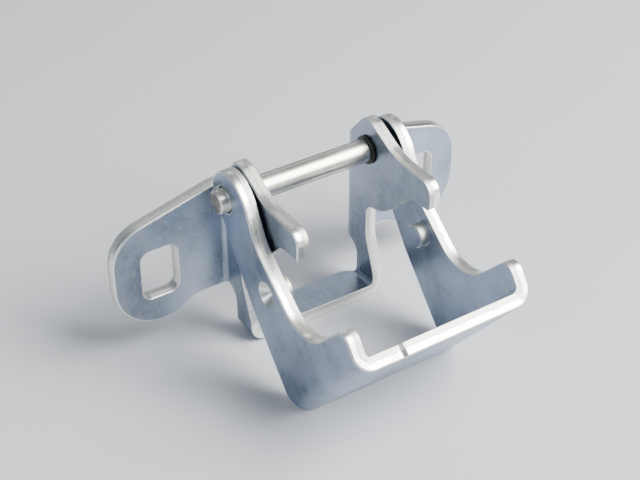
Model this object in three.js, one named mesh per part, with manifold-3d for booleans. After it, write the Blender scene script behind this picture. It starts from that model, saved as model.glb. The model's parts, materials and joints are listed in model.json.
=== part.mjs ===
// Hinged bracket with a swinging yoke, in pressed and zinc plated sheet steel.
// Millimetres. X runs along the pivot pin, +Y towards the wall behind the wings, +Z up.
// The origin is under the middle of the bracket as it stands on its strap.
import * as THREE from 'three';
import { mergeVertices } from 'three/addons/utils/BufferGeometryUtils.js';
import Module from 'manifold-3d';

// Sheet metal
const SHEET = 3.0;
const BEND_INNER = 1.2;
const BEND_OUTER = BEND_INNER + SHEET;

// Pivot pin and its retaining rings
const PIN_HEIGHT = 39.4;
const PIN_RADIUS = 2.75;
const PIN_LENGTH = 48.2;
const PIN_CHAMFER = 0.4;
const GROOVE_DEPTH = 0.45;
const RING_THICKNESS = 0.4;
const RING_OUTER = 3.4;
const RING_MOUTH = 84 * Math.PI / 180;
const RING_MOUTH_FACES = -32 * Math.PI / 180;
const CLEARANCE = 0.3;
const HOLE_RADIUS = PIN_RADIUS + CLEARANCE;

// Mounting bracket
const CHEEK_INNER = 15.3;
const CHEEK_OUTER = CHEEK_INNER + SHEET;
const CHEEK_TOP = 7.5;
const CHEEK_REAR = 3.0;
const WING_FRONT = 7.0;
const WING_BACK = WING_FRONT + SHEET;
const WING_END = 46.2;
const WING_SLOPE = 13.5 * Math.PI / 180;
const WING_TOP = -0.4;
const WING_BOTTOM = -28.0;
const WING_WAIST = { x: 26.5, z: WING_BOTTOM };
const WING_BELLY = { x: 31.5, z: -31.2 };
const WING_FOOT = { x: WING_END, z: -33.2, radius: 11.5 };
const WING_CORNER = 9.5;
const NOSE_REACH = 23.4;
const NOSE_TOP = 2.8;
const NOSE_UNDERSIDE = -3.7;
const LEG_FRONT = 0;
const LEG_REAR = 3.4;
const STRAP_FRONT = -3.6;
const STRAP_BACK = 5.2;
const BOLT_HOLE = { across: 8.8, tall: 12.6, centreX: 35.0, centreZ: -18.4, corner: 2.3 };

// Swinging yoke, drawn hanging with its web level, from the pin axis
const YOKE_OUTER = 22.0;
const WEB_TOP = -44.9;
const WEB_BOTTOM = WEB_TOP - SHEET;
const WEB_FRONT = -22.6;
const WEB_REAR = 12.2;
const FLANGE_HEIGHT = 7.6;
const ARM_FRONT = -4.1;
const ARM_FILLET = 10;
const HEAD = { y: -1.6, z: -0.9, radius: 6.7 };
const HEEL = 14.4;
const BOSS = { y: 1.2, z: -22.3, radius: 2.8, height: 2.3, dimpleRadius: 3.0, dimpleDepth: 1.9 };
const NICK = { x: -13.8, width: 3.6, depth: 0.6 };

// The yoke leans forward until the rear edge of its web rests on the same surface as the strap.
const HEEL_RADIUS = Math.hypot(WEB_REAR, WEB_BOTTOM);
const REST_SWING = Math.acos(PIN_HEIGHT / HEEL_RADIUS) + Math.atan2(WEB_REAR, -WEB_BOTTOM);
const FRONT_REACH = -(WEB_FRONT * Math.cos(REST_SWING) + WEB_BOTTOM * Math.sin(REST_SWING));
const PIN_Y = (FRONT_REACH - WING_BACK) / 2;

const CURVE_STEPS = 8;
const ROUND_STEPS = 32;

const wasm = await Module();
wasm.setup();

function solid(geometry) {
  const bare = geometry.clone();
  bare.deleteAttribute('normal');
  bare.deleteAttribute('uv');
  const merged = mergeVertices(bare, 1e-4);
  const vertProperties = new Float32Array(merged.attributes.position.array);
  const triVerts = new Uint32Array(merged.index.array);
  return new wasm.Manifold(new wasm.Mesh({ numProp: 3, vertProperties, triVerts }));
}

function toGeometry(body) {
  const mesh = body.getMesh();
  const geometry = new THREE.BufferGeometry();
  geometry.setAttribute('position', new THREE.BufferAttribute(new Float32Array(mesh.vertProperties), 3));
  geometry.setIndex(new THREE.BufferAttribute(new Uint32Array(mesh.triVerts), 1));
  geometry.computeVertexNormals();
  return geometry;
}

// A shape in its own plane, extruded by depth; the three placements below turn it into model axes.
function extrude(shape, depth) {
  return new THREE.ExtrudeGeometry(shape, { depth, bevelEnabled: false, curveSegments: CURVE_STEPS });
}

// Shape drawn as (Y, Z), extruded along +X from x.
function alongX(shape, x, depth) {
  const axes = new THREE.Matrix4().makeBasis(
    new THREE.Vector3(0, 1, 0), new THREE.Vector3(0, 0, 1), new THREE.Vector3(1, 0, 0));
  return solid(extrude(shape, depth).applyMatrix4(axes).translate(x, 0, 0));
}

// Shape drawn as (X, Z), extruded along +Y from y.
function alongY(shape, y, depth) {
  return solid(extrude(shape, depth).rotateX(Math.PI / 2).translate(0, y + depth, 0));
}

// Shape drawn as (X, Y), extruded along +Z from z.
function alongZ(shape, z, depth) {
  return solid(extrude(shape, depth).translate(0, 0, z));
}

// Closed outline from corners [a, b, radius]; each corner with a radius is rounded by a true arc.
function outline(corners) {
  const shape = new THREE.Shape();
  const count = corners.length;
  corners.forEach(([a, b, radius = 0], index) => {
    const here = new THREE.Vector2(a, b);
    const before = new THREE.Vector2(...corners[(index + count - 1) % count].slice(0, 2));
    const after = new THREE.Vector2(...corners[(index + 1) % count].slice(0, 2));
    const points = radius > 0 ? arcAtCorner(before, here, after, radius) : [here];
    points.forEach((point, step) => {
      if (index === 0 && step === 0) shape.moveTo(point.x, point.y);
      else shape.lineTo(point.x, point.y);
    });
  });
  shape.closePath();
  return shape;
}

function arcAtCorner(before, here, after, radius) {
  const back = before.clone().sub(here).normalize();
  const ahead = after.clone().sub(here).normalize();
  const half = Math.acos(THREE.MathUtils.clamp(back.dot(ahead), -1, 1)) / 2;
  const bisector = back.clone().add(ahead).normalize();
  const centre = here.clone().addScaledVector(bisector, radius / Math.sin(half));
  const start = here.clone().addScaledVector(back, radius / Math.tan(half)).sub(centre);
  const turn = Math.sign(back.cross(ahead)) * -1 * (Math.PI - 2 * half);
  const steps = Math.max(2, Math.ceil(Math.abs(turn) / (Math.PI / 2) * CURVE_STEPS));
  return Array.from({ length: steps + 1 }, (_, step) =>
    start.clone().rotateAround(new THREE.Vector2(), turn * step / steps).add(centre));
}

function box(x0, x1, y0, y1, z0, z1) {
  return alongZ(outline([[x0, y0], [x1, y0], [x1, y1], [x0, y1]]), z0, z1 - z0);
}

// Round rod along X about (y, z).
function rod(x0, x1, y, z, radius) {
  const geometry = new THREE.CylinderGeometry(radius, radius, x1 - x0, ROUND_STEPS);
  return solid(geometry.rotateZ(-Math.PI / 2).translate((x0 + x1) / 2, y, z));
}

function mirrorX(body) {
  return body.mirror([1, 0, 0]);
}

// Bracket, seen in plan: cheek plate, bend and wing as one strip of sheet on the +X side.
function cheekAndWingPlan() {
  const shape = new THREE.Shape();
  const bendX = CHEEK_INNER + BEND_OUTER;
  const bendY = WING_BACK - BEND_OUTER;
  shape.moveTo(CHEEK_INNER, -NOSE_REACH - 1);
  shape.lineTo(CHEEK_OUTER, -NOSE_REACH - 1);
  shape.lineTo(CHEEK_OUTER, bendY);
  shape.absarc(bendX, bendY, BEND_INNER, Math.PI, Math.PI / 2, true);
  shape.lineTo(WING_END + 1, WING_FRONT);
  shape.lineTo(WING_END + 1, WING_BACK);
  shape.lineTo(bendX, WING_BACK);
  shape.absarc(bendX, bendY, BEND_OUTER, Math.PI / 2, Math.PI, false);
  shape.closePath();
  return shape;
}

// Side outline of a cheek and the leg below it, as far as the wing bend.
function cheekSide() {
  const bendY = WING_BACK - BEND_OUTER;
  const legEnd = -PIN_HEIGHT + BEND_OUTER;
  return outline([
    [-1.2, CHEEK_TOP, 4],
    [-8.2, 4.1, 8],
    [-12, NOSE_TOP + 0.2, 12],
    [-NOSE_REACH, NOSE_TOP, 3.2],
    [-NOSE_REACH, NOSE_UNDERSIDE, 1],
    [-17.2, NOSE_UNDERSIDE - 0.1, 4],
    [-11.2, -9.8, 8],
    [-5.5, -14.3, 10],
    [LEG_FRONT, -15, 3],
    [LEG_FRONT, -24, 8],
    [STRAP_FRONT, -33.6, 4],
    [STRAP_FRONT, legEnd],
    [LEG_REAR, legEnd],
    [LEG_REAR, -31.5, 2],
    [bendY, -28, 5],
    [bendY, CHEEK_REAR],
    [1.8, CHEEK_TOP, 2],
  ]);
}

// Front outline of a wing and of the bend that joins it to its cheek.
function wingFront() {
  const bendX = CHEEK_INNER + BEND_OUTER;
  const drop = (WING_END - bendX) * Math.tan(WING_SLOPE);
  return outline([
    [CHEEK_INNER - 0.5, CHEEK_REAR],
    [CHEEK_INNER - 0.5, WING_BOTTOM],
    [WING_WAIST.x, WING_WAIST.z, 7],
    [WING_BELLY.x, WING_BELLY.z, 7],
    [WING_FOOT.x, WING_FOOT.z, WING_FOOT.radius],
    [WING_END, WING_TOP - drop, WING_CORNER],
    [bendX + 1.2, WING_TOP, 2],
    [CHEEK_OUTER, CHEEK_REAR],
  ]);
}

// What the sheet's top edge leaves free, seen from the side, as it drops from the cheek to the wing.
function aboveBend() {
  const bendY = WING_BACK - BEND_OUTER;
  return outline([
    [bendY, CHEEK_TOP],
    [bendY, CHEEK_REAR],
    [bendY + 2, WING_TOP, 1],
    [WING_BACK + 1, WING_TOP],
    [WING_BACK + 1, CHEEK_TOP],
  ]);
}

function boltHole() {
  const { across, tall, centreX, centreZ, corner } = BOLT_HOLE;
  const half = across / 2;
  return outline([
    [centreX - half, centreZ - tall / 2, corner],
    [centreX + half, centreZ - tall / 2, corner],
    [centreX + half, centreZ + tall / 2, corner],
    [centreX - half, centreZ + tall / 2, corner],
  ]);
}

// Strap seen from the front: the foot of the leg, its bend and half of the flat strap.
function strapFront() {
  const shape = new THREE.Shape();
  const bendX = CHEEK_OUTER - BEND_OUTER;
  const bendZ = -PIN_HEIGHT + BEND_OUTER;
  shape.moveTo(0, -PIN_HEIGHT);
  shape.lineTo(bendX, -PIN_HEIGHT);
  shape.absarc(bendX, bendZ, BEND_OUTER, -Math.PI / 2, 0, false);
  shape.lineTo(CHEEK_INNER, bendZ);
  shape.absarc(bendX, bendZ, BEND_INNER, 0, -Math.PI / 2, true);
  shape.lineTo(0, -PIN_HEIGHT + SHEET);
  shape.closePath();
  return shape;
}

// Strap seen from below: it widens towards the wall once it has left the bend.
function strapPlan() {
  const bendX = CHEEK_OUTER - BEND_OUTER;
  return outline([
    [-1, STRAP_FRONT],
    [CHEEK_OUTER + 1, STRAP_FRONT],
    [CHEEK_OUTER + 1, LEG_REAR],
    [bendX + 1, LEG_REAR, 3],
    [bendX - 2, STRAP_BACK, 3],
    [-1, STRAP_BACK],
  ]);
}

function bracketHalf() {
  const bendY = WING_BACK - BEND_OUTER;
  const strip = alongZ(cheekAndWingPlan(), -PIN_HEIGHT, PIN_HEIGHT + CHEEK_TOP + 1);
  const cheek = strip.intersect(alongX(cheekSide(), CHEEK_INNER - 1, SHEET + 2));
  const wing = strip
    .intersect(alongY(wingFront(), bendY, BEND_OUTER + 1))
    .subtract(alongX(aboveBend(), CHEEK_INNER - 1, WING_END));
  const foot = alongY(strapFront(), STRAP_FRONT, STRAP_BACK - STRAP_FRONT)
    .intersect(alongZ(strapPlan(), -PIN_HEIGHT - 1, BEND_OUTER + 1));
  const hole = alongY(boltHole(), WING_FRONT - 1, SHEET + 2);
  const bore = rod(CHEEK_INNER - 1, CHEEK_OUTER + 1, 0, 0, HOLE_RADIUS);
  return cheek.add(wing).add(foot).subtract(hole).subtract(bore);
}

function mountingBracket() {
  const half = bracketHalf();
  return half.add(mirrorX(half));
}

// Yoke seen from the front: a U of sheet, both arms and the web.
function yokeSection() {
  const shape = new THREE.Shape();
  const bendX = YOKE_OUTER - BEND_OUTER;
  const bendZ = WEB_BOTTOM + BEND_OUTER;
  const inner = YOKE_OUTER - SHEET;
  const top = HEAD.z + HEAD.radius + 1;
  shape.moveTo(-YOKE_OUTER, top);
  shape.lineTo(-YOKE_OUTER, bendZ);
  shape.absarc(-bendX, bendZ, BEND_OUTER, Math.PI, 1.5 * Math.PI, false);
  shape.lineTo(bendX, WEB_BOTTOM);
  shape.absarc(bendX, bendZ, BEND_OUTER, -Math.PI / 2, 0, false);
  shape.lineTo(YOKE_OUTER, top);
  shape.lineTo(inner, top);
  shape.lineTo(inner, bendZ);
  shape.absarc(bendX, bendZ, BEND_INNER, 0, -Math.PI / 2, true);
  shape.lineTo(-bendX, WEB_TOP);
  shape.absarc(-bendX, bendZ, BEND_INNER, -Math.PI / 2, -Math.PI, true);
  shape.lineTo(-inner, top);
  shape.closePath();
  return shape;
}

// Side outline of the yoke: round head, arm, low flange in front and heel behind.
function yokeSide() {
  const headTop = HEAD.z + HEAD.radius;
  const flangeTop = WEB_TOP + FLANGE_HEIGHT;
  return outline([
    [HEAD.y - HEAD.radius, headTop, HEAD.radius * 0.98],
    [HEAD.y - HEAD.radius, -3.5, 9],
    [ARM_FRONT, -13, 14],
    [ARM_FRONT, flangeTop + 0.6, ARM_FILLET],
    [WEB_FRONT - 2.4, flangeTop - 0.9, 2.6],
    [WEB_FRONT, WEB_BOTTOM + BEND_OUTER, 4],
    [WEB_FRONT, WEB_BOTTOM - 1],
    [WEB_REAR, WEB_BOTTOM - 1],
    [WEB_REAR, WEB_BOTTOM + 0.3, 0.2],
    [HEEL, WEB_BOTTOM + BEND_OUTER, 3],
    [10.9, -22, 20],
    [HEAD.y + HEAD.radius, -3, 6],
    [HEAD.y + HEAD.radius, headTop, HEAD.radius * 0.98],
  ]);
}

// Stop boss pushed in from outside the +X arm: a round button inside and a dimple outside.
function stopBoss() {
  const inner = YOKE_OUTER - SHEET;
  return rod(inner - BOSS.height, inner + 1, BOSS.y, BOSS.z, BOSS.radius);
}

function bossDimple() {
  return rod(YOKE_OUTER - BOSS.dimpleDepth, YOKE_OUTER + 1, BOSS.y, BOSS.z, BOSS.dimpleRadius);
}

function swingYoke() {
  const depth = HEEL - WEB_FRONT + 4;
  const sheet = alongY(yokeSection(), WEB_FRONT - 2, depth);
  const bores = rod(-YOKE_OUTER - 1, YOKE_OUTER + 1, 0, 0, HOLE_RADIUS);
  const nickRear = WEB_FRONT + NICK.depth;
  const nick = box(NICK.x, NICK.x + NICK.width, WEB_FRONT - 1, nickRear, WEB_BOTTOM - 1, WEB_TOP + 1);
  return sheet
    .intersect(alongX(yokeSide(), -YOKE_OUTER - 1, 2 * YOKE_OUTER + 2))
    .add(stopBoss())
    .add(mirrorX(stopBoss()))
    .subtract(bossDimple())
    .subtract(mirrorX(bossDimple()))
    .subtract(bores)
    .subtract(nick);
}

// Centre of the retaining ring, which bears on the inner face of the +X cheek.
const RING_CENTRE = CHEEK_INNER - CLEARANCE - RING_THICKNESS / 2;

// Plain rod with chamfered ends and a groove for each ring, turned about X.
function pivotPin() {
  const end = PIN_LENGTH / 2;
  const land = RING_THICKNESS / 2 + CLEARANCE;
  const groove = PIN_RADIUS - GROOVE_DEPTH;
  const half = [
    [0, end], [PIN_RADIUS - PIN_CHAMFER, end], [PIN_RADIUS, end - PIN_CHAMFER],
    [PIN_RADIUS, RING_CENTRE + land], [groove, RING_CENTRE + land],
    [groove, RING_CENTRE - land], [PIN_RADIUS, RING_CENTRE - land],
  ];
  const other = half.map(([radius, along]) => [radius, -along]).reverse();
  const profile = [...half, ...other].map(([radius, along]) => new THREE.Vector2(radius, along)).reverse();
  return solid(new THREE.LatheGeometry(profile, ROUND_STEPS).rotateZ(-Math.PI / 2));
}

// Point at an angle in the plane across the pin, measured from +Y towards +Z.
function across(angle, radius) {
  return [radius * Math.cos(angle), radius * Math.sin(angle)];
}

// Open spring ring with a round tip at each side of its mouth.
function retainingRing(x) {
  const inner = PIN_RADIUS - GROOVE_DEPTH + CLEARANCE;
  const middle = (inner + RING_OUTER) / 2;
  const low = x - RING_THICKNESS / 2;
  const high = x + RING_THICKNESS / 2;
  const edges = [-1, 1].map((side) => RING_MOUTH_FACES + side * RING_MOUTH / 2);
  const mouth = outline([[0, 0], across(edges[0], 9), across(RING_MOUTH_FACES, 9), across(edges[1], 9)]);
  const band = rod(low, high, 0, 0, RING_OUTER)
    .subtract(rod(low - 1, high + 1, 0, 0, inner))
    .subtract(alongX(mouth, low - 1, RING_THICKNESS + 2));
  const tip = (RING_OUTER - inner) / 2;
  return edges.reduce((ring, angle) => ring.add(rod(low, high, ...across(angle, middle), tip)), band);
}

function steel(color, roughness) {
  return new THREE.MeshStandardMaterial({ color, roughness, metalness: 0.9 });
}

function part(name, body, material) {
  const mesh = new THREE.Mesh(toGeometry(body), material);
  mesh.name = name;
  return mesh;
}

// Everything is drawn about the pin axis and lifted to its place above the strap's underside.
const aboutPin = new THREE.Group();
aboutPin.position.set(0, PIN_Y, PIN_HEIGHT);
aboutPin.add(part('mounting_bracket', mountingBracket(), steel(0xb9bec6, 0.34)));

const yoke = part('swing_yoke', swingYoke(), steel(0xaab4c6, 0.3));
yoke.rotation.x = -REST_SWING;
aboutPin.add(yoke);

aboutPin.add(part('pivot_pin', pivotPin(), steel(0xd6d2cc, 0.22)));
aboutPin.add(part('retaining_ring_left', retainingRing(-RING_CENTRE), steel(0x24262a, 0.5)));
aboutPin.add(part('retaining_ring_right', retainingRing(RING_CENTRE), steel(0x24262a, 0.5)));

const assembly = new THREE.Group();
assembly.add(aboutPin);
export default assembly;
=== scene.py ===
"""Looks of a hinged wall bracket: pressed, zinc plated sheet with a yoke swinging on a cross pin.

Each sheet part is laid out flat as its blank, given the rounded, sheared rim of a pressed part, and
folded into place. Lengths are in millimetres about the pin axis until a mesh is made.
"""
import json
import math

import bmesh
import bpy
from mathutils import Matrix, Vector
from mathutils.geometry import delaunay_2d_cdt


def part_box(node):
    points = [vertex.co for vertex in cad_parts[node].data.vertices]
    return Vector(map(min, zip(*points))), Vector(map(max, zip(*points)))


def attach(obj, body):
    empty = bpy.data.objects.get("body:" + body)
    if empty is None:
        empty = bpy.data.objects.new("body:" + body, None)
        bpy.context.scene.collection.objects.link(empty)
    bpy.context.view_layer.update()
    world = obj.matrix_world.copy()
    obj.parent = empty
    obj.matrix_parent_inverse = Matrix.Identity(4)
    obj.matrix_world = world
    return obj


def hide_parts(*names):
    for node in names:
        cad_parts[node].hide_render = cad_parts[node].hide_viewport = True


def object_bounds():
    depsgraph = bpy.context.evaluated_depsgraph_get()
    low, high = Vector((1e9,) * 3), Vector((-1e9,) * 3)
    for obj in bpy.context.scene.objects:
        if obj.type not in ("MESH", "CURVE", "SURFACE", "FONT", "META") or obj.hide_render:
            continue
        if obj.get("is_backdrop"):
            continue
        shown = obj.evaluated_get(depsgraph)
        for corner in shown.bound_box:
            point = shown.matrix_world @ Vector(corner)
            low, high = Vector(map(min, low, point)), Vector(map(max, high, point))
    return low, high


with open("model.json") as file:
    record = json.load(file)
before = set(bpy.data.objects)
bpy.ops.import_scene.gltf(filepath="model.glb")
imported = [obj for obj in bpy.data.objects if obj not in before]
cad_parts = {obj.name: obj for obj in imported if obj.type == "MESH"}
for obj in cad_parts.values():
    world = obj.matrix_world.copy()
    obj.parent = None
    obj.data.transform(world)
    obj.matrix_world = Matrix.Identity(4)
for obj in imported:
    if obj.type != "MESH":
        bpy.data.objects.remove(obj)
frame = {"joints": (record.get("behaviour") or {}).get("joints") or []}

MM = 0.001
SHEET = 3.0
HALF = SHEET / 2
BEND_INNER = 1.2
BEND_OUTER = BEND_INNER + SHEET
BEND_MIDDLE = BEND_INNER + HALF
BEND_LENGTH = BEND_MIDDLE * math.pi / 2

PIN_RADIUS = 2.75
CLEARANCE = 0.3
HOLE_RADIUS = PIN_RADIUS + CLEARANCE

# Rim of a pressed blank: rounded over at the punch's side, with a small burr radius at the die's side
ROLL = 0.36
BURR = 0.14
ROLL_STEPS = 5
BURR_STEPS = 3

ARC_STEP = math.radians(6)
HOLE_STEPS = 64
BOSS_STEPS = 48
PIN_STEPS = 96
RING_STEPS = 60
TIP_STEPS = 12

# Longest side of a rim, and spacing of the points inside a face, where the sheet bends and where it is flat
BENT_SIDE = 0.32
FLAT_SIDE = 1.6
BEND_MARGIN = 0.6
FILL_ROUND_BEND = 0.42
FILL_ALONG_BEND = 1.4
FILL_CLEARANCE_SQUARED = 0.3


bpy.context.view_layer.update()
PIN_AXIS = Vector(next(j for j in frame["joints"] if j["name"] == "yoke_swing")["pos_m"])
PIN_HEIGHT = PIN_AXIS.z / MM


# ---------------------------------------------------------------- outlines in the flat

def arc_at_corner(before, here, after, radius):
    """Points of the arc that rounds the corner at here."""
    back = (before - here).normalized()
    ahead = (after - here).normalized()
    half = math.acos(max(-1.0, min(1.0, back.dot(ahead)))) / 2
    centre = here + (back + ahead).normalized() * (radius / math.sin(half))
    start = here + back * (radius / math.tan(half)) - centre
    turn = -math.copysign(math.pi - 2 * half, back.x * ahead.y - back.y * ahead.x)
    steps = max(2, math.ceil(abs(turn) / ARC_STEP))
    points = []
    for step in range(steps + 1):
        angle = turn * step / steps
        cos, sin = math.cos(angle), math.sin(angle)
        points.append(centre + Vector((start.x * cos - start.y * sin, start.x * sin + start.y * cos)))
    return points


def outline(corners):
    """Closed loop from corners (a, b, radius), each rounded by a true arc."""
    spots = [Vector(corner[:2]) for corner in corners]
    loop = []
    for index, corner in enumerate(corners):
        after = spots[(index + 1) % len(spots)]
        loop += arc_at_corner(spots[index - 1], spots[index], after, corner[2])
    return loop


def circle(centre, radius):
    turns = [2 * math.pi * step / HOLE_STEPS for step in range(HOLE_STEPS)]
    return [Vector((centre[0] + radius * math.cos(a), centre[1] + radius * math.sin(a))) for a in turns]


def area(loop):
    pairs = zip(loop, loop[1:] + loop[:1])
    return sum(a.x * b.y - a.y * b.x for a, b in pairs) / 2


def wound(loop, anticlockwise):
    return loop if (area(loop) > 0) == anticlockwise else loop[::-1]


def split_long(loop, spacing):
    """Adds points so that no side is longer than spacing() says at its middle."""
    points = []
    for a, b in zip(loop, loop[1:] + loop[:1]):
        if (b - a).length < 1e-5:
            continue
        stack = [(a, b)]
        while stack:
            low, high = stack.pop()
            middle = (low + high) / 2
            if (high - low).length > spacing(middle):
                stack += [(middle, high), (low, middle)]
            else:
                points.append(low)
    return points


def outward_normals(loop):
    """Mitred outward normal at each point of a loop that has the metal on its left."""
    normals = []
    for index, here in enumerate(loop):
        before = (here - loop[index - 1]).normalized()
        after = (loop[(index + 1) % len(loop)] - here).normalized()
        side = Vector((before.y + after.y, -before.x - after.x)).normalized()
        normals.append((side, 1 / max(0.5, side.dot(Vector((after.y, -after.x))))))
    return normals


def inside(point, loops):
    """Even-odd test of a point against all the loops."""
    odd = False
    for loop in loops:
        for a, b in zip(loop, loop[1:] + loop[:1]):
            if (a.y > point.y) != (b.y > point.y):
                if point.x < a.x + (point.y - a.y) * (b.x - a.x) / (b.y - a.y):
                    odd = not odd
    return odd


# ---------------------------------------------------------------- folding a blank

def fold_u(p, q, half_web, web_outer):
    """Middle surface of a U of sheet: p along it, q across from the middle of its web.

    Returns the point and the directions of p, of q and of the outer face. half_web is the flat half
    of the web and web_outer the height of its outer face."""
    side = 1 if q >= 0 else -1
    reach = abs(q)
    corner = web_outer + BEND_OUTER
    turn = min(max((reach - half_web) / BEND_MIDDLE, 0), math.pi / 2)
    cos, sin = math.cos(turn), math.sin(turn)
    x = min(reach, half_web) + BEND_MIDDLE * sin
    z = corner - BEND_MIDDLE * cos + max(reach - half_web - BEND_LENGTH, 0)
    across = Vector((cos, 0, side * sin))
    out = Vector((side * sin, 0, -cos))
    return Vector((side * x, p, z)), Vector((0, 1, 0)), across, out


def add_wing(p, q, place, bend_start, wing_plane):
    """Turns what lies past bend_start on an upright side outwards into a wing."""
    if p <= bend_start:
        return place
    point, _, up, out = place
    side = out.x
    turn = min((p - bend_start) / BEND_MIDDLE, math.pi / 2)
    cos, sin = math.cos(turn), math.sin(turn)
    centre = abs(point.x) + BEND_MIDDLE
    x = centre - BEND_MIDDLE * cos + max(p - bend_start - BEND_LENGTH, 0)
    y = min(bend_start + BEND_MIDDLE * sin, wing_plane)
    return Vector((side * x, y, point.z)), Vector((side * sin, cos, 0)), up, Vector((side * cos, -sin, 0))


# ---------------------------------------------------------------- a sheet with its rim

def sheared_profile(thickness, roll, burr):
    """Rim from the outer face to the inner one: (inset, height, outward part, upward part)."""
    half = thickness / 2
    rows = []
    for step in range(ROLL_STEPS + 1):
        angle = math.pi / 2 * (1 - step / ROLL_STEPS)
        rows.append((roll * (1 - math.cos(angle)), half - roll * (1 - math.sin(angle)),
                     math.cos(angle), math.sin(angle)))
    for share in (0.35, 0.7):
        rows.append((0, (half - roll) * (1 - share) + (burr - half) * share, 1, 0))
    for step in range(BURR_STEPS + 1):
        angle = -math.pi / 2 * step / BURR_STEPS
        rows.append((burr * (1 - math.cos(angle)), -half + burr * (1 + math.sin(angle)),
                     math.cos(angle), math.sin(angle)))
    return rows


class Blank:
    """A flat sheet with rounded rims, which place() folds. Vertices hold (p, q, height) and a normal."""

    def __init__(self, thickness=SHEET, roll=ROLL, burr=BURR):
        self.profile = sheared_profile(thickness, roll, burr)
        self.points = []
        self.normals = []
        self.faces = []
        self.slots = []
        self.charts = []
        self.borders = {1: [], -1: []}

    def add_point(self, p, q, height, normal):
        self.points.append((p, q, height))
        self.normals.append(normal)
        return len(self.points) - 1

    def add_face(self, indices, slot, chart):
        self.faces.append(indices)
        self.slots.append(slot)
        self.charts.append(chart)

    def add_rim(self, loop):
        """Sheared rim round a loop, with the metal on the loop's left."""
        normals = outward_normals(loop)
        rows = []
        for inset, height, out, up in self.profile:
            rows.append([
                self.add_point(*(here - side * inset * mitre), height, (side.x * out, side.y * out, up))
                for here, (side, mitre) in zip(loop, normals)])
        along = [0.0]
        for a, b in zip(loop, loop[1:] + loop[:1]):
            along.append(along[-1] + (b - a).length)
        heights = [row[1] for row in self.profile]
        count = len(loop)
        for upper, lower, top, low in zip(rows, rows[1:], heights, heights[1:]):
            for i in range(count):
                j = (i + 1) % count
                chart = [(along[i], top), (along[i], low), (along[i + 1], low), (along[i + 1], top)]
                self.add_face([upper[i], lower[i], lower[j], upper[j]], 1, chart)
        self.borders[1].append(rows[0])
        self.borders[-1].append(rows[-1])

    def add_round(self, centre, side, rows):
        """A dimple or boss on one face, from rows of (radius, height, outward part, upward part).

        Its steeper rows take the look of a sheared edge and the others that of the face."""
        steps = BOSS_STEPS
        turns = [2 * math.pi * step / steps for step in range(steps)]
        loops = []
        for radius, height, out, up in rows:
            loops.append([
                self.add_point(centre[0] + radius * math.cos(a), centre[1] + radius * math.sin(a), height,
                               (out * math.cos(a), out * math.sin(a), up)) for a in turns])
        hub = self.add_point(centre[0], centre[1], rows[-1][1], (0, 0, side))
        for first, second, upper, lower in zip(loops, loops[1:], rows, rows[1:]):
            steep = abs(upper[2]) + abs(lower[2]) > 1
            for i in range(steps):
                j = (i + 1) % steps
                ring = [first[i], first[j], second[j], second[i]]
                if steep:
                    near, far = (2 * math.pi * rows[-1][0] * k / steps for k in (i, i + 1))
                    chart = [(near, upper[1]), (far, upper[1]), (far, lower[1]), (near, lower[1])]
                    order = range(4) if side > 0 else range(3, -1, -1)
                    self.add_face([ring[k] for k in order], 1, [chart[k] for k in order])
                else:
                    self.add_turned(ring, side)
        for i in range(steps):
            self.add_turned([loops[-1][i], loops[-1][(i + 1) % steps], hub], side)
        self.borders[side].append(loops[0][::-1])

    def add_turned(self, indices, side):
        indices = indices if side > 0 else indices[::-1]
        self.add_face(indices, 0, [self.points[i][:2] for i in indices])

    def add_skin(self, side, fill):
        """The face on one side, with fill points where it bends."""
        borders = self.borders[side]
        height = side * abs(self.points[borders[0][0]][2])
        loops = [[Vector(self.points[i][:2]) for i in border] for border in borders]
        known = [index for border in borders for index in border]
        spots = [Vector(self.points[i][:2]) for i in known]
        edges = []
        for border in borders:
            start = len(edges)
            edges += [(start + i, start + (i + 1) % len(border)) for i in range(len(border))]
        for spot in fill:
            near = min((spot - other).length_squared for other in spots[:len(known)])
            if near > FILL_CLEARANCE_SQUARED and inside(spot, loops):
                spots.append(spot)
                known.append(self.add_point(spot.x, spot.y, height, (0, 0, side)))
        found, _, triangles, origins, _, _ = delaunay_2d_cdt(spots, edges, [], 0, 1e-6)
        for triangle in triangles:
            middle = sum((found[i] for i in triangle), Vector((0, 0))) / 3
            if inside(middle, loops):
                self.add_turned([known[origins[i][0]] for i in triangle], side)

    def build(self, name, place, materials):
        """Folds the blank with place(p, q) and makes the object, in metres in the row frame."""
        points = []
        normals = []
        for (p, q, height), (a, b, c) in zip(self.points, self.normals):
            origin, along, across, out = place(p, q)
            points.append(PIN_AXIS + (origin + out * height) * MM)
            normals.append((along * a + across * b + out * c).normalized())
        mesh = bpy.data.meshes.new(name)
        mesh.from_pydata(points, [], self.faces)
        for material in materials:
            mesh.materials.append(material)
        mesh.polygons.foreach_set("material_index", self.slots)
        chart = mesh.uv_layers.new(name="sheet")
        chart.data.foreach_set("uv", [value for face in self.charts for spot in face for value in spot])
        mesh.shade_smooth()
        mesh.normals_split_custom_set_from_vertices(normals)
        mesh.validate()
        piece = bpy.data.objects.new(name, mesh)
        bpy.context.scene.collection.objects.link(piece)
        return piece


def fill_strip(p_range, q_range, p_step, q_step):
    """Grid of points over a rectangle of the blank."""
    p_count = max(1, round((p_range[1] - p_range[0]) / p_step))
    q_count = max(1, round((q_range[1] - q_range[0]) / q_step))
    return [Vector((p_range[0] + (p_range[1] - p_range[0]) * i / p_count,
                    q_range[0] + (q_range[1] - q_range[0]) * j / q_count))
            for i in range(p_count + 1) for j in range(q_count + 1)]


# ---------------------------------------------------------------- mounting bracket

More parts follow.
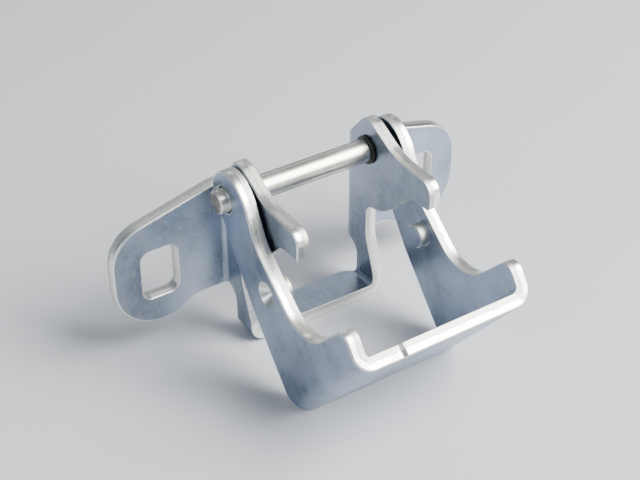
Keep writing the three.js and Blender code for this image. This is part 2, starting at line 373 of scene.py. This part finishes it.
CHEEK_INNER = 15.3
CHEEK_OUTER = CHEEK_INNER + SHEET
WING_FRONT = 7.0
WING_BEND = WING_FRONT + SHEET - BEND_OUTER
WING_START = WING_BEND + BEND_LENGTH
WING_BEND_X = CHEEK_INNER + BEND_OUTER
WING_TIP = 46.2
WING_END = WING_START + WING_TIP - WING_BEND_X
WING_TOP = -0.4
WING_DROP = 6.4
WING_BOTTOM = -28.0
STRAP_FRONT = -3.6
STRAP_BACK = 5.2
STRAP_HALF = CHEEK_OUTER - BEND_OUTER
LEG_REAR = 3.4
LEG_START = STRAP_HALF + BEND_LENGTH
LEG_FOOT = -PIN_HEIGHT + BEND_OUTER
NOSE_REACH = 23.4
CROWN = 7.5
BOLT_HOLE = {"across": 8.8, "tall": 12.6, "x": 35.0, "z": -18.4, "corner": 2.3}


def on_cheek(z):
    """Distance across the blank from the strap's middle to a height on the cheek."""
    return LEG_START + z - LEG_FOOT


def bracket_half_corners():
    """Right half of the blank, from the strap's front edge round the cheek and wing to its back edge."""
    upright = [
        (STRAP_FRONT, -33.6, 4), (0, -24, 8), (0, -15, 3), (-5.5, -14.3, 10), (-11.2, -9.8, 8),
        (-17.2, -3.8, 4), (-NOSE_REACH, -3.7, 1), (-NOSE_REACH, 2.8, 3.2), (-12, 3.0, 12), (-8.2, 4.1, 8),
        (-1.2, CROWN, 4), (1.8, CROWN, 2), (WING_BEND, 3.0, 3), (WING_BEND + 2, WING_TOP + 0.2, 1.5),
        (WING_START + 1.2, WING_TOP, 3), (WING_END, WING_TOP - WING_DROP, 9.5),
        (WING_END, WING_BOTTOM - 5.2, 11.5), (WING_END - 14.7, WING_BOTTOM - 3.2, 7),
        (WING_END - 19.7, WING_BOTTOM, 7), (LEG_REAR, WING_BOTTOM, 3.6),
    ]
    foot = [(LEG_REAR, STRAP_HALF + 1, 3), (STRAP_BACK, STRAP_HALF - 2, 3)]
    return [(p, on_cheek(z), radius) for p, z, radius in upright] + foot


def mirrored(corners):
    return [(p, -q, radius) for p, q, radius in reversed(corners)]


def bolt_hole_loop(side):
    hole = BOLT_HOLE
    p = WING_START + hole["x"] - WING_BEND_X
    q = on_cheek(hole["z"])
    half, tall = hole["across"] / 2, hole["tall"] / 2
    corners = [(p - half, q - tall), (p + half, q - tall), (p + half, q + tall), (p - half, q + tall)]
    return outline([(a, side * b, hole["corner"]) for a, b in corners])


def place_on_bracket(p, q):
    place = fold_u(p, q, STRAP_HALF, -PIN_HEIGHT)
    return add_wing(p, q, place, WING_BEND, WING_FRONT + HALF)


def bracket_spacing(spot):
    past_leg_bend = abs(spot.y) > LEG_START
    in_wing_bend = WING_BEND - BEND_MARGIN < spot.x < WING_START + BEND_MARGIN and past_leg_bend
    in_leg_bend = STRAP_HALF - BEND_MARGIN < abs(spot.y) < LEG_START + BEND_MARGIN
    return BENT_SIDE if in_wing_bend or in_leg_bend else FLAT_SIDE


def mounting_bracket(materials):
    corners = bracket_half_corners()
    blank = Blank()
    blank.add_rim(wound(split_long(outline(corners + mirrored(corners)), bracket_spacing), True))
    for side in (1, -1):
        blank.add_rim(wound(split_long(bolt_hole_loop(side), lambda spot: 0.8), False))
        blank.add_rim(wound(circle((0, side * on_cheek(0)), HOLE_RADIUS), False))
    fill = []
    for side in (1, -1):
        low, high = sorted((side * on_cheek(-30), side * on_cheek(4)))
        fill += fill_strip((WING_BEND, WING_START), (low, high), FILL_ROUND_BEND, FILL_ALONG_BEND)
        low, high = sorted((side * STRAP_HALF, side * LEG_START))
        fill += fill_strip((-3, 4.6), (low, high), FILL_ALONG_BEND, FILL_ROUND_BEND)
    blank.add_skin(1, fill)
    blank.add_skin(-1, fill)
    return blank.build("bracket_sheet", place_on_bracket, materials)


# ---------------------------------------------------------------- swinging yoke

YOKE_OUTER = 22.0
WEB_BOTTOM = -47.9
WEB_FRONT = -22.6
WEB_REAR = 12.2
WEB_HALF = YOKE_OUTER - BEND_OUTER
ARM_START = WEB_HALF + BEND_LENGTH
ARM_FOOT = WEB_BOTTOM + BEND_OUTER
HEEL_RADIUS = math.hypot(WEB_REAR, WEB_BOTTOM)
REST_SWING = math.acos(PIN_HEIGHT / HEEL_RADIUS) + math.atan2(WEB_REAR, -WEB_BOTTOM)
FLANGE_HEIGHT = 7.6
ARM_FRONT = -4.1
HEEL = 14.4
HEAD = {"front": -8.3, "rear": 5.1, "top": 5.8, "radius": 6.57}
NICK = {"left": -13.8, "right": -10.2, "depth": 0.6}
BOSS = {"y": 1.2, "z": -22.3, "radius": 2.8, "height": 2.3, "dimple": 3.0, "depth": 1.9}


def on_arm(z):
    """Distance across the blank from the web's middle to a height on the arm."""
    return ARM_START + z - ARM_FOOT


def yoke_half_corners():
    """Right half of the blank, from the web's front edge round the arm to its rear edge."""
    flange_top = WEB_BOTTOM + SHEET + FLANGE_HEIGHT
    front, rear, top, radius = HEAD["front"], HEAD["rear"], HEAD["top"], HEAD["radius"]
    arm = [
        (WEB_FRONT - 2.4, flange_top - 0.9, 2.6), (ARM_FRONT, flange_top + 0.6, 10), (ARM_FRONT, -13, 14),
        (front, -3.5, 9), (front, top, radius), (rear, top, radius), (rear, -3, 6), (10.9, -22, 20),
        (HEEL, ARM_FOOT + 1, 3),
    ]
    web_front = [(WEB_FRONT, WEB_HALF + 1, 3)]
    web_rear = [(WEB_REAR, WEB_HALF + 1.8, 2)]
    return web_front + [(p, on_arm(z), radius) for p, z, radius in arm] + web_rear


def nick_corners():
    """Shallow nick in the web's front edge, left of the middle, steeper on its right."""
    left, right, depth = NICK["left"], NICK["right"], NICK["depth"]
    return [(WEB_FRONT, left - 0.6, 3), (WEB_FRONT + depth, right - 0.9, 0.7), (WEB_FRONT, right, 0.7)]


def place_on_yoke(p, q):
    """Folds the yoke hanging straight, then leans it to its rest angle about the pin."""
    cos, sin = math.cos(REST_SWING), math.sin(REST_SWING)
    return [Vector((v.x, v.y * cos + v.z * sin, v.z * cos - v.y * sin))
            for v in fold_u(p, q, WEB_HALF, WEB_BOTTOM)]


def yoke_spacing(spot):
    in_bend = WEB_HALF - BEND_MARGIN < abs(spot.y) < ARM_START + BEND_MARGIN
    return BENT_SIDE if in_bend else FLAT_SIDE


def dimple_rows():
    """Punched dimple: a rounded lip, a sloping wall, and a small flat floor."""
    radius, lip, slope, core = BOSS["dimple"], 0.35, math.radians(48), 0.5
    bottom = HALF - BOSS["depth"]
    angles = [slope * step / 4 for step in range(5)]
    rows = []
    for a in angles:
        out = radius + lip * (math.sin(slope) - math.sin(a))
        rows.append((out, HALF - lip * (1 - math.cos(a)), -math.sin(a), math.cos(a)))
    for a in angles[::-1]:
        rows.append((core + core * math.sin(a), bottom + core * (1 - math.cos(a)), -math.sin(a), math.cos(a)))
    return rows


def boss_rows():
    """Boss pushed through from the dimple: a small root fillet, a straight wall and a rounded crown."""
    radius, top, root, crown = BOSS["radius"], -HALF - BOSS["height"], 0.25, 0.4
    rows = [(radius + root * (1 - math.sin(a)), -HALF - root * (1 - math.cos(a)), math.sin(a), -math.cos(a))
            for a in (math.pi / 2 * step / 3 for step in range(4))]
    rows += [(radius - crown * (1 - math.cos(a)), top + crown * (1 - math.sin(a)), math.cos(a), -math.sin(a))
             for a in (math.pi / 2 * step / 4 for step in range(5))]
    return rows


def swing_yoke(materials):
    corners = yoke_half_corners()
    blank = Blank()
    around = nick_corners() + corners + mirrored(corners)
    blank.add_rim(wound(split_long(outline(around), yoke_spacing), True))
    for side in (1, -1):
        blank.add_rim(wound(circle((0, side * on_arm(0)), HOLE_RADIUS), False))
        blank.add_round((BOSS["y"], side * on_arm(BOSS["z"])), 1, dimple_rows())
        blank.add_round((BOSS["y"], side * on_arm(BOSS["z"])), -1, boss_rows())
    fill = []
    for side in (1, -1):
        low, high = sorted((side * WEB_HALF, side * ARM_START))
        fill += fill_strip((WEB_FRONT, WEB_REAR + 1.5), (low, high), FILL_ALONG_BEND, FILL_ROUND_BEND)
    blank.add_skin(1, fill)
    blank.add_skin(-1, fill)
    return blank.build("yoke_sheet", place_on_yoke, materials)


# ---------------------------------------------------------------- pin and rings

RING_THICKNESS = 0.4
RING_CENTRE = CHEEK_INNER - CLEARANCE - RING_THICKNESS / 2
RING_OUTER = 3.4
RING_MOUTH = math.radians(84)
RING_MOUTH_FACES = math.radians(-32)
GROOVE = PIN_RADIUS - 0.45
PIN_CHAMFER = 0.4
PIN_ROUNDING = 0.06


def pin_profile():
    """Half of the pin's outline from the end's centre to the middle: (distance along, radius)."""
    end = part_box("pivot_pin")[1].x / MM
    chamfer, rounding = PIN_CHAMFER, PIN_ROUNDING
    land = RING_THICKNESS / 2 + CLEARANCE
    return [
        (end, 0), (end, PIN_RADIUS - chamfer - 0.1), (end - rounding, PIN_RADIUS - chamfer + 0.03),
        (end - chamfer + rounding, PIN_RADIUS - 0.05), (end - chamfer - 0.1, PIN_RADIUS),
        (RING_CENTRE + land + rounding, PIN_RADIUS), (RING_CENTRE + land, PIN_RADIUS - rounding),
        (RING_CENTRE + land, GROOVE), (RING_CENTRE - land, GROOVE),
        (RING_CENTRE - land, PIN_RADIUS - rounding), (RING_CENTRE - land - rounding, PIN_RADIUS),
    ]


def pivot_pin(ground, cut):
    """Turned pin, ground along its length and as cut at its two end faces."""
    steps = PIN_STEPS
    half = pin_profile()
    profile = half + [(-x, radius) for x, radius in reversed(half)]
    points = []
    for x, radius in profile:
        for step in range(steps):
            angle = 2 * math.pi * step / steps
            points.append(PIN_AXIS + Vector((x, radius * math.cos(angle), radius * math.sin(angle))) * MM)
    faces = []
    slots = []
    end_rows = (0, len(profile) - 2)
    for row in range(len(profile) - 1):
        slots += [int(row in end_rows)] * steps
        for step in range(steps):
            after = (step + 1) % steps
            faces.append([row * steps + step, row * steps + after, (row + 1) * steps + after,
                          (row + 1) * steps + step])
    mesh = bpy.data.meshes.new("pin_rod")
    mesh.from_pydata(points, [], faces)
    mesh.materials.append(ground)
    mesh.materials.append(cut)
    mesh.polygons.foreach_set("material_index", slots)
    merge_centres(mesh)
    mesh.shade_smooth()
    mesh.set_sharp_from_angle(angle=math.radians(28))
    piece = bpy.data.objects.new("pin_rod", mesh)
    bpy.context.scene.collection.objects.link(piece)
    return piece


def merge_centres(mesh):
    """Joins the end faces' coinciding middle points."""
    work = bmesh.new()
    work.from_mesh(mesh)
    bmesh.ops.remove_doubles(work, verts=work.verts, dist=1e-7)
    bmesh.ops.recalc_face_normals(work, faces=work.faces)
    work.to_mesh(mesh)
    work.free()


def ring_loop():
    """Open ring with a round tip each side of its mouth."""
    inner = GROOVE + CLEARANCE
    middle = (inner + RING_OUTER) / 2
    tip = (RING_OUTER - inner) / 2
    start = RING_MOUTH_FACES + RING_MOUTH / 2
    sweep = 2 * math.pi - RING_MOUTH
    loop = []
    for step in range(RING_STEPS + 1):
        angle = start + sweep * step / RING_STEPS
        loop.append(Vector((RING_OUTER * math.cos(angle), RING_OUTER * math.sin(angle))))
    loop += ring_tip(middle, start + sweep, tip, 1)
    for step in range(RING_STEPS + 1):
        angle = start + sweep * (1 - step / RING_STEPS)
        loop.append(Vector((inner * math.cos(angle), inner * math.sin(angle))))
    loop += ring_tip(middle, start, tip, -1)
    return loop


def ring_tip(middle, angle, radius, way):
    """Half round end of a ring's arm, turning from its outer to its inner side when way is 1."""
    centre = Vector((middle * math.cos(angle), middle * math.sin(angle)))
    first = angle if way > 0 else angle + math.pi
    turns = [first + math.pi * step / TIP_STEPS for step in range(1, TIP_STEPS)]
    return [centre + Vector((math.cos(a), math.sin(a))) * radius for a in turns]


def retaining_ring(name, x, material):
    blank = Blank(RING_THICKNESS, 0.12, 0.12)
    blank.add_rim(wound(split_long(ring_loop(), lambda spot: 0.6), True))
    blank.add_skin(1, [])
    blank.add_skin(-1, [])
    flat = (Vector((0, 1, 0)), Vector((0, 0, 1)), Vector((1, 0, 0)))
    return blank.build(name, lambda p, q: (Vector((x, p, q)), *flat), [material, material])


# ---------------------------------------------------------------- materials

def new_material(name, roughness, metallic=1.0):
    material = bpy.data.materials.new(name)
    material.use_nodes = True
    shader = material.node_tree.nodes["Principled BSDF"]
    shader.inputs["Metallic"].default_value = metallic
    shader.inputs["Roughness"].default_value = roughness
    return material, material.node_tree, shader


def node(tree, kind, **settings):
    made = tree.nodes.new(kind)
    for key, value in settings.items():
        if key in made.inputs.keys():
            made.inputs[key].default_value = value
        else:
            setattr(made, key, value)
    return made


def noise(tree, vector, scale, detail=3.0, roughness=0.55):
    made = node(tree, "ShaderNodeTexNoise", Scale=scale, Detail=detail, Roughness=roughness)
    tree.links.new(vector, made.inputs["Vector"])
    return made.outputs["Fac"]


def stretched(tree, vector, scale, turn=0.0):
    """The coordinates scaled by scale, then turned in their own plane."""
    made = node(tree, "ShaderNodeMapping")
    made.inputs["Scale"].default_value = scale
    made.inputs["Rotation"].default_value = (0, 0, turn)
    tree.links.new(vector, made.inputs["Vector"])
    return made.outputs["Vector"]


def ramp(tree, value, stops):
    """Colour ramp from a list of (position, colour)."""
    made = tree.nodes.new("ShaderNodeValToRGB")
    elements = made.color_ramp.elements
    for index, (position, colour) in enumerate(stops):
        element = elements[index] if index < 2 else elements.new(position)
        element.position = position
        element.color = (*colour, 1)
    tree.links.new(value, made.inputs["Fac"])
    return made.outputs["Color"]


def between(tree, value, low, high, out_low, out_high):
    """Maps value from low..high to out_low..out_high, clamped."""
    made = tree.nodes.new("ShaderNodeMapRange")
    limits = {"From Min": low, "From Max": high, "To Min": out_low, "To Max": out_high}
    for socket, number in limits.items():
        made.inputs[socket].default_value = number
    tree.links.new(value, made.inputs["Value"])
    return made.outputs["Result"]


def maths(tree, operation, first, second):
    made = node(tree, "ShaderNodeMath", operation=operation)
    for socket, value in zip(made.inputs, (first, second)):
        if isinstance(value, (int, float)):
            socket.default_value = value
        else:
            tree.links.new(value, socket)
    return made.outputs[0]


def mixed(tree, share, first, second):
    """Colour mix; first and second are colours or sockets."""
    made = node(tree, "ShaderNodeMix", data_type="RGBA")
    tree.links.new(share, made.inputs[0])
    for socket, value in ((made.inputs[6], first), (made.inputs[7], second)):
        if isinstance(value, tuple):
            socket.default_value = (*value, 1)
        else:
            tree.links.new(value, socket)
    return made.outputs[2]


def bump(tree, height, strength, distance, after=None):
    made = node(tree, "ShaderNodeBump", Strength=strength, Distance=distance)
    tree.links.new(height, made.inputs["Height"])
    if after is not None:
        tree.links.new(after, made.inputs["Normal"])
    return made.outputs["Normal"]


def scratches(tree, sheet, turn, density):
    """Fine scratches in one direction, 1 on a scratch and 0 elsewhere."""
    lines = noise(tree, stretched(tree, sheet, (0.09, 3.2, 1), turn), 1.0, 2.0)
    black, white = (0, 0, 0), (1, 1, 1)
    return ramp(tree, lines, [(density, black), (density + 0.02, white), (density + 0.05, black)])


def zinc_plate(name, zinc_grey_and_reflected_blue):
    """Bright zinc over rolled sheet: mottled, with warmer runs, grain, scratches and specks. The tint's blue
    cast is a painted reflection of a blue surrounding, laid over the zinc's own grey.
    """
    material, tree, shader = new_material(name, 0.3)
    sheet = node(tree, "ShaderNodeUVMap", uv_map="sheet").outputs["UV"]
    space = node(tree, "ShaderNodeTexCoord").outputs["Object"]
    clouds = noise(tree, space, 95, 4.0, 0.6)
    mottle = noise(tree, space, 620, 3.0, 0.6)
    grain = noise(tree, stretched(tree, sheet, (9.0, 0.55, 1)), 1.0, 4.0, 0.7)
    pores = noise(tree, sheet, 5.5, 2.0)
    marks = maths(tree, "ADD", scratches(tree, sheet, 0.5, 0.66), scratches(tree, sheet, -1.1, 0.68))
    specks = node(tree, "ShaderNodeTexVoronoi", Scale=0.32)
    tree.links.new(sheet, specks.inputs["Vector"])
    dots = between(tree, specks.outputs["Distance"], 0.03, 0.055, 1, 0)

    drips = noise(tree, stretched(tree, sheet, (0.5, 0.06, 1), 0.35), 1.0, 4.0, 0.65)
    # Painted reflection: every colour below keeps the tint's blue cast, which stands for a blue surrounding
    # mirrored in the zinc.
    dark = tuple(channel * 0.76 for channel in zinc_grey_and_reflected_blue)
    light = tuple(min(1, channel * 1.2) for channel in zinc_grey_and_reflected_blue)
    warm = (zinc_grey_and_reflected_blue[0] * 1.45, zinc_grey_and_reflected_blue[1] * 1.2, zinc_grey_and_reflected_blue[2] * 0.92)
    base = mixed(tree, between(tree, clouds, 0.35, 0.68, 0, 1), dark, light)
    base = mixed(tree, between(tree, drips, 0.52, 0.72, 0, 0.55), base, warm)
    base = mixed(tree, between(tree, mottle, 0.42, 0.62, 0, 0.4), base, zinc_grey_and_reflected_blue)
    base = mixed(tree, maths(tree, "MULTIPLY", marks, 0.3), base, (0.9, 0.92, 0.95))
    base = mixed(tree, maths(tree, "MULTIPLY", dots, 0.6), base, (0.93, 0.92, 0.86))
    tree.links.new(base, shader.inputs["Base Color"])

    rough = between(tree, clouds, 0.3, 0.7, 0.23, 0.34)
    rough = maths(tree, "ADD", rough, between(tree, grain, 0.3, 0.7, -0.03, 0.05))
    rough = maths(tree, "SUBTRACT", rough, maths(tree, "MULTIPLY", marks, 0.05))
    tree.links.new(rough, shader.inputs["Roughness"])

    waves = bump(tree, noise(tree, space, 55, 1.0), 0.12, 0.0012)
    rolled = bump(tree, grain, 0.1, 0.00004, waves)
    pitted = bump(tree, pores, 0.12, 0.00005, rolled)
    tree.links.new(pitted, shader.inputs["Normal"])
    return material


def sheared_edge(name):
    """Plated rim of a pressed blank: a smooth burnished band, a rougher torn one, and dark pits."""
    material, tree, shader = new_material(name, 0.35)
    chart = node(tree, "ShaderNodeUVMap", uv_map="sheet").outputs["UV"]
    parts = node(tree, "ShaderNodeSeparateXYZ")
    tree.links.new(chart, parts.inputs["Vector"])
    wander = noise(tree, stretched(tree, chart, (0.5, 0, 1)), 1.0, 3.0)
    line = maths(tree, "SUBTRACT", parts.outputs["Y"], between(tree, wander, 0.3, 0.7, -0.45, 0.2))
    torn = between(tree, line, -0.12, 0.12, 1, 0)
    streaks = noise(tree, stretched(tree, chart, (7.0, 0.5, 1)), 1.0, 3.0, 0.6)
    tearing = noise(tree, stretched(tree, chart, (3.2, 2.2, 1)), 1.0, 5.0, 0.7)

    pits = noise(tree, stretched(tree, chart, (0.34, 0.5, 1)), 1.0, 5.0, 0.65)
    pitted = between(tree, pits, 0.665, 0.70, 0, 0.85)

    smooth = mixed(tree, between(tree, streaks, 0.35, 0.65, 0, 1), (0.85, 0.85, 0.79), (0.97, 0.97, 0.91))
    rough = mixed(tree, between(tree, tearing, 0.35, 0.65, 0, 1), (0.55, 0.55, 0.52), (0.83, 0.83, 0.775))
    edge = mixed(tree, torn, smooth, rough)
    tree.links.new(mixed(tree, pitted, edge, (0.17, 0.16, 0.14)), shader.inputs["Base Color"])
    tree.links.new(maths(tree, "ADD", between(tree, torn, 0, 1, 0.3, 0.46),
                         between(tree, streaks, 0.3, 0.7, -0.04, 0.06)), shader.inputs["Roughness"])
    fine = bump(tree, streaks, 0.25, 0.00006)
    height = maths(tree, "MULTIPLY", tearing, torn)
    tree.links.new(bump(tree, height, 0.5, 0.00018, fine), shader.inputs["Normal"])
    return material


def ground_bar(name):
    """Bright ground bar, with fine marks round it and a few darker rubbed bands."""
    material, tree, shader = new_material(name, 0.2)
    space = node(tree, "ShaderNodeTexCoord").outputs["Object"]
    turned = noise(tree, stretched(tree, space, (9000, 60, 60)), 1.0, 3.0, 0.6)
    bands = noise(tree, stretched(tree, space, (220, 12, 12)), 1.0, 2.0)
    spots = noise(tree, space, 900, 3.0)
    base = mixed(tree, between(tree, bands, 0.35, 0.7, 0, 1), (0.69, 0.68, 0.605), (0.82, 0.81, 0.735))
    base = mixed(tree, between(tree, spots, 0.58, 0.72, 0, 0.4), base, (0.56, 0.54, 0.49))
    tree.links.new(base, shader.inputs["Base Color"])
    tree.links.new(maths(tree, "ADD", between(tree, turned, 0.3, 0.7, 0.26, 0.36),
                         between(tree, bands, 0.3, 0.7, 0, 0.05)), shader.inputs["Roughness"])
    tree.links.new(bump(tree, turned, 0.12, 0.00002), shader.inputs["Normal"])
    return material


def cut_end_painted_dark(name):
    """Bare sawn end of a bar, dull and brownish, with the saw's fine marks; its darkness is a painted
    reflection of dark surroundings.
    """
    material, tree, shader = new_material(name, 0.5)
    space = node(tree, "ShaderNodeTexCoord").outputs["Object"]
    marks = noise(tree, stretched(tree, space, (60, 2200, 300)), 1.0, 3.0, 0.6)
    stain = noise(tree, space, 700, 3.0)
    # Painted reflection: these dark colours stand for dark surroundings mirrored in the end face, over the
    # bare steel's brownish tone.
    base = mixed(tree, between(tree, stain, 0.4, 0.62, 0, 1), (0.26, 0.225, 0.21), (0.42, 0.38, 0.34))
    tree.links.new(mixed(tree, between(tree, marks, 0.5, 0.7, 0, 0.5), base, (0.55, 0.52, 0.48)),
                   shader.inputs["Base Color"])
    tree.links.new(between(tree, marks, 0.3, 0.7, 0.42, 0.6), shader.inputs["Roughness"])
    tree.links.new(bump(tree, marks, 0.35, 0.00004), shader.inputs["Normal"])
    return material


def near_black_ring_finish(name):
    """Near-black, partly metallic finish, lighter in rubbed patches."""
    material, tree, shader = new_material(name, 0.42, 0.7)
    space = node(tree, "ShaderNodeTexCoord").outputs["Object"]
    grit = noise(tree, space, 2600, 3.0)
    rubbed = noise(tree, space, 480, 3.0)
    dark, light = (0.040, 0.038, 0.032), (0.105, 0.100, 0.085)
    base = mixed(tree, between(tree, grit, 0.35, 0.65, 0, 1), dark, light)
    base = mixed(tree, between(tree, rubbed, 0.6, 0.75, 0, 0.5), base, (0.30, 0.29, 0.26))
    tree.links.new(base, shader.inputs["Base Color"])
    tree.links.new(between(tree, grit, 0.3, 0.7, 0.34, 0.52), shader.inputs["Roughness"])
    tree.links.new(bump(tree, grit, 0.25, 0.00003), shader.inputs["Normal"])
    return material


# ---------------------------------------------------------------- stage

# Just under the parts that rest on it, so that no two faces coincide
FLOOR_HEIGHT = -0.02
FLOOR_REACH = 6.0

CAMERA_AZIMUTH = math.radians(-33.2)
CAMERA_ELEVATION = math.radians(35.9)
CAMERA_DISTANCE = 0.2924
CAMERA_TARGET_OFFSET = (-5.1, 9.1, 5.8)
CAMERA_LENS = 75.5

# Name, place, size, power and colour of each light
LIGHTS = [
    ("key", (0.36, -0.37, 0.52), (0.50, 0.62), 20.0, (1.0, 0.98, 0.94)),
    ("back", (0.15, 0.65, 0.45), (0.6, 0.2), 0.5, (0.95, 0.97, 1.0)),
    ("side", (-0.62, 0.0, 0.26), (0.3, 0.3), 1.2, (0.80, 0.88, 1.0)),
]
LIGHTS_AIM = Vector((0, 0, 0.02))


def floor():
    """Plain pale floor with a soft, faintly uneven surface."""
    material, tree, shader = new_material("pale_floor", 0.55, 0.0)
    space = node(tree, "ShaderNodeTexCoord").outputs["Object"]
    patch = noise(tree, space, 6, 2.0)
    tree.links.new(mixed(tree, patch, (0.50, 0.52, 0.56), (0.56, 0.58, 0.61)), shader.inputs["Base Color"])
    mesh = bpy.data.meshes.new("floor")
    reach, top = FLOOR_REACH, FLOOR_HEIGHT * MM
    corners = [(-reach, -reach, top), (reach, -reach, top), (reach, reach, top), (-reach, reach, top)]
    mesh.from_pydata(corners, [], [(0, 1, 2, 3)])
    mesh.materials.append(material)
    made = bpy.data.objects.new("floor", mesh)
    bpy.context.scene.collection.objects.link(made)
    made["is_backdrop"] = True


def area_light(name, place, size, power, colour):
    """Rectangular soft light aimed at the object."""
    data = bpy.data.lights.new(name, "AREA")
    data.shape = "RECTANGLE"
    data.size, data.size_y = size
    data.energy = power
    data.color = colour
    lamp = bpy.data.objects.new(name, data)
    lamp.location = place
    lamp.rotation_euler = (LIGHTS_AIM - Vector(place)).to_track_quat("-Z", "Y").to_euler()
    bpy.context.scene.collection.objects.link(lamp)


def surroundings():
    """Soft room light: brightest overhead, dimmest and coolest about 20 degrees up."""
    world = bpy.data.worlds.new("room")
    world.use_nodes = True
    tree = world.node_tree
    spot = node(tree, "ShaderNodeTexCoord").outputs["Generated"]
    parts = node(tree, "ShaderNodeSeparateXYZ")
    tree.links.new(spot, parts.inputs["Vector"])
    colour = ramp(tree, parts.outputs["Z"], [
        (0.0, (0.42, 0.45, 0.50)), (1.0, (0.60, 0.62, 0.66)), (0.35, (0.26, 0.31, 0.40))])
    tree.links.new(colour, tree.nodes["Background"].inputs["Color"])
    tree.nodes["Background"].inputs["Strength"].default_value = 0.6
    bpy.context.scene.world = world


def camera():
    """Camera at the left and in front of the object, looking down at it."""
    azimuth, elevation = CAMERA_AZIMUTH, CAMERA_ELEVATION
    low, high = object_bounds()
    target = (low + high) / 2 + Vector(CAMERA_TARGET_OFFSET) * MM
    back = Vector((math.sin(azimuth) * math.cos(elevation), -math.cos(azimuth) * math.cos(elevation),
                   math.sin(elevation)))
    data = bpy.data.cameras.new("camera")
    data.lens = CAMERA_LENS
    data.sensor_width = 36
    data.clip_start = 0.01
    made = bpy.data.objects.new("camera", data)
    made.location = target + back * CAMERA_DISTANCE
    made.rotation_euler = (-back).to_track_quat("-Z", "Y").to_euler()
    bpy.context.scene.collection.objects.link(made)
    bpy.context.scene.camera = made


# ---------------------------------------------------------------- assembly

def stand_for(piece, body, cad_node):
    """Puts a piece on its body, in place of its CAD node."""
    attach(piece, body)
    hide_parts(cad_node)


def build():
    camera()
    surroundings()
    floor()
    for light in LIGHTS:
        area_light(*light)

    edge = sheared_edge("sheared_edge")
    ring = near_black_ring_finish("near_black_ring_finish")
    # Zinc tints: grey with a blue cast that is a painted reflection of a blue surrounding, a little bluer on
    # the yoke.
    stand_for(mounting_bracket([zinc_plate("bracket_zinc", (0.355, 0.415, 0.515)), edge]),
              "bracket", "mounting_bracket")
    stand_for(swing_yoke([zinc_plate("yoke_zinc", (0.345, 0.415, 0.54)), edge]),
              "yoke", "swing_yoke")
    stand_for(pivot_pin(ground_bar("ground_bar"), cut_end_painted_dark("cut_end_painted_dark")),
              "pin", "pivot_pin")
    stand_for(retaining_ring("ring_left", -RING_CENTRE, ring), "pin", "retaining_ring_left")
    stand_for(retaining_ring("ring_right", RING_CENTRE, ring), "pin", "retaining_ring_right")


build()
